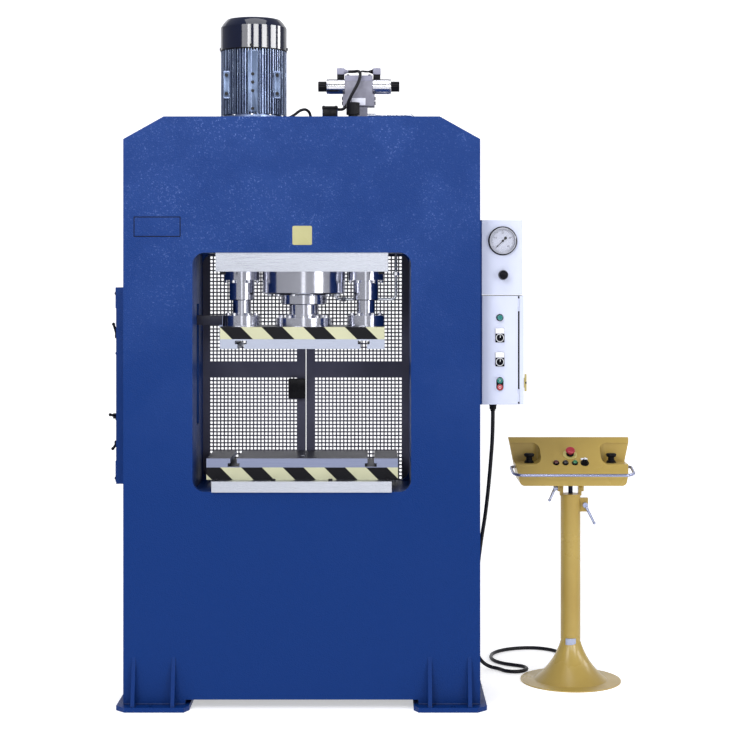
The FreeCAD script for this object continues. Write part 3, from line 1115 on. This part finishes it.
def make_head():
    """Make the console head: a sloping desk with a hooded pocket at each end and a guard rail."""
    block = padded("head_block", "XZ_Plane", head_outline(), "HeadBack - HeadFront",
                   (*at_stand("0", "HeadFront"), "0"))
    desk = [("HeadFront - 1", "NoseTop"), ("CrestFront", "HeadTop"), ("CrestFront", "HeadTop + 1"),
            ("HeadFront - 1", "HeadTop + 1")]
    slope = padded("desk_slope", "YZ_Plane", desk, "2*HeadHalfTop + 4",
                   ("StandX - HeadHalfTop - 2", "StandY", "0"))
    pockets = [head_pocket("left_pocket", -1), head_pocket("right_pocket", 1)]
    room = box("head_room", ("StandX - PocketInner + HeadWall", "StandX + PocketInner - HeadWall"),
               ("StandY + HeadBack - HeadWall - RoomDeep", "StandY + HeadBack - HeadWall"),
               ("HeadLow + HeadWall", "HeadTop - RoomDrop"))
    inner = "(HeadHalfLow - HeadWall - HeadRound/2)"
    trough = box("head_trough", (f"StandX - {inner}", f"StandX + {inner}"),
                 ("StandY + HeadFront + HeadWall", "StandY + HeadBack - HeadWall"),
                 ("HeadLow + HeadWall", "NoseTop - HeadWall"))
    lead_hole = round_bar("head_lead_hole", (*at_stand(), "HeadLow - 1"), "LeadRadius + 4",
                          "HeadWall + 2")
    shell = cut("head_cut", block, slope, *pockets, room, trough, lead_hole)
    lugs = []
    for side, low, high in (("left", "-LugOuter", "-ProngOuter - SeatGap"),
                            ("right", "ProngOuter + SeatGap", "LugOuter")):
        lugs.append(box(f"{side}_lug", (f"StandX + ({low})", f"StandX + ({high})"),
                        ("StandY - ProngHalf", "StandY + ProngHalf"), ("TiltZ", "HeadLow + 1")))
        lugs.append(round_bar(f"{side}_lug_eye", (f"StandX + ({low})", "StandY", "TiltZ"),
                              "ProngHalf", "LugOuter - ProngOuter - SeatGap", RIGHT))
    holes = [round_bar("lug_hole", ("StandX - LugOuter - 1", "StandY", "TiltZ"),
                       "HingeBoltRadius + FitGap", "2*LugOuter + 2", RIGHT)]
    ears = cut("lugs_cut", join("lugs", *lugs), *holes)
    bends = [worth("RailRootBend"), worth("RailBend")]
    rail = tube("rail", RAIL_ROUTE, worth("RailRadius"), bends + bends[::-1])
    fittings = desk_fittings()
    keep(join("head", shell, ears, rail, *fittings), "console_head")
    clamp_lever("tilt_lever", ("StandX - LugOuter - SeatGap", "StandY", "TiltZ"), LEFT,
                (-1, 0, 0), "TiltLeverHub", (-0.42, -0.30, -0.82), "TiltLeverLong")


def on_desk(across, along, lift):
    """Return the point of the desk across from its middle, along its slope and off its face."""
    rise = worth("HeadTop - NoseTop")
    run = worth("CrestFront - HeadFront")
    angle = math.atan2(rise, run)
    y = worth("StandY + HeadFront") + along * math.cos(angle) - lift * math.sin(angle)
    z = worth("NoseTop") + along * math.sin(angle) + lift * math.cos(angle)
    return (f"StandX + ({across})", f"{y:.3f}", f"{z:.3f}")


def desk_turn():
    """Return the rotation of things that stand square on the desk."""
    rise = worth("HeadTop - NoseTop")
    run = worth("CrestFront - HeadFront")
    return facing((0, -rise, run))


def sleeve(name, spot, outer, inner, tall, turn=None):
    """Make a ring that a button's stem slides in."""
    return turned(name, rectangle(inner, outer, "0", tall), spot, turn)


def desk_fittings():
    """Return what is fixed on the head: the sleeves of the buttons, the stop's disc, the lamps."""
    upright = desk_turn()
    sunk = -2
    along = worth("StopAlong")
    parts = [
        round_bar("stop_disc", on_desk("StopU", along, sunk), "StopDiscRadius",
                  f"StopPlateThick - ({sunk})", upright),
        sleeve("stop_sleeve", on_desk("StopU", along, worth("StopPlateThick") - 1),
               "StopStemRadius + SleeveWall", "StopStemRadius + SeatGap", "SleeveTall", upright),
    ]
    for side, sign in (("left", -1), ("right", 1)):
        spot = (*at_stand(f"({sign})*PalmReach", "PalmV"), "PocketFloor - 1")
        parts.append(sleeve(f"{side}_palm_sleeve", spot, "PalmStemRadius + SleeveWall",
                            "PalmStemRadius + SeatGap", "SleeveTall"))
    along = worth("RowAlong")
    for number in range(3):
        across = f"ButtonRowU + {number}*ButtonPitch"
        parts.append(round_bar(f"desk_lamp_{number}", on_desk(across, along, sunk), "SmallRadius",
                               f"SmallTall - ({sunk})", upright))
    parts.append(round_bar("picker_base", on_desk("PickerU", along, sunk), "PickerRadius + 3",
                           f"PickerBase - ({sunk})", upright))
    return parts


def mushroom(name, spot, stem, stem_tall, cap, cap_tall, turn=None):
    """Make a push button with a stem and a domed cap, from its lowest point."""
    top = f"{stem_tall} + {cap_tall}"
    outline = [
        ("0", "0"), (stem, "0"), (stem, stem_tall), (f"{cap} - 4", stem_tall),
        (cap, f"{stem_tall} + {cap_tall}*0.5"),
        (f"{cap}*0.9", f"{stem_tall} + {cap_tall}*0.82", "arc"),
        (f"{cap}*0.6", top), ("0", top),
    ]
    return turned(name, outline, spot, turn)


def make_desk_controls():
    """Make the two palm buttons, the emergency stop and the selector of the desk."""
    for side, sign in (("left", -1), ("right", 1)):
        spot = (*at_stand(f"({sign})*PalmReach", "PalmV"), "PocketFloor + PalmTravel + SeatGap")
        palm = mushroom(f"{side}_palm", spot, "PalmStemRadius", "PalmStemTall", "PalmRadius",
                        "PalmCapTall")
        keep(palm, f"palm_button_{side}")
    upright = desk_turn()
    spot = on_desk("StopU", worth("StopAlong"), worth("StopPlateThick + PalmTravel + SeatGap"))
    keep(mushroom("stop_press", spot, "StopStemRadius", "StopStemTall", "StopRadius", "StopTall",
                  upright), "emergency_stop")
    along = worth("RowAlong")
    knob = round_bar("picker_knob", on_desk("PickerU", along, worth("PickerBase + SeatGap")),
                     "PickerRadius", "PickerTall/2", upright)
    wedge = doc.addObject("Part::Box", "picker_grip")
    wedge.setExpression("Length", sized("GripHalf*2"))
    wedge.setExpression("Width", sized("PickerRadius*2 - 4"))
    wedge.setExpression("Height", sized("PickerTall"))
    corner = upright.multVec(FreeCAD.Vector(-worth("GripHalf"), -worth("PickerRadius - 2"), 0))
    x, y, z = on_desk("PickerU", along, worth("PickerBase + 2"))
    place(wedge, (f"{x} + ({corner.x:.4f})", f"{y} + ({corner.y:.4f})", f"{z} + ({corner.z:.4f})"),
          upright)
    keep(join("picker", knob, wedge), "desk_selector")


def make_cord():
    """Make the control cable from the cabinet's gland over the floor to the stand."""
    keep(tube("cord", CORD_ROUTE, worth("CordRadius")), "console_cable")


def write_parts():
    """Check every object and write each node's solid."""
    doc.recompute()
    for thing in doc.Objects:
        if "Invalid" in thing.State or "Error" in thing.State:
            raise RuntimeError(f"{thing.Name} failed: {thing.State}")
    os.makedirs("parts", exist_ok=True)
    for thing in nodes:
        if thing.Shape.isNull() or not thing.Shape.isValid():
            raise RuntimeError(f"{thing.Label} has no valid shape")
        thing.Shape.exportStep(f"parts/{thing.Label}.step")
    print(len(nodes), "nodes")


fill_sheet()
make_faces()
make_walls()
make_inner_frame()
make_beams()
make_roof()
make_feet()
make_platens()
make_ram()
make_guides()
make_trip_arm()
make_tank()
make_motor()
make_fan()
make_valve()
make_roof_fittings()
make_rear_doors()
make_side_cover()
make_boxes()
make_cabinet_door()
make_gauge()
make_gland()
make_stand()
make_post()
make_head()
make_desk_controls()
make_cord()
write_parts()
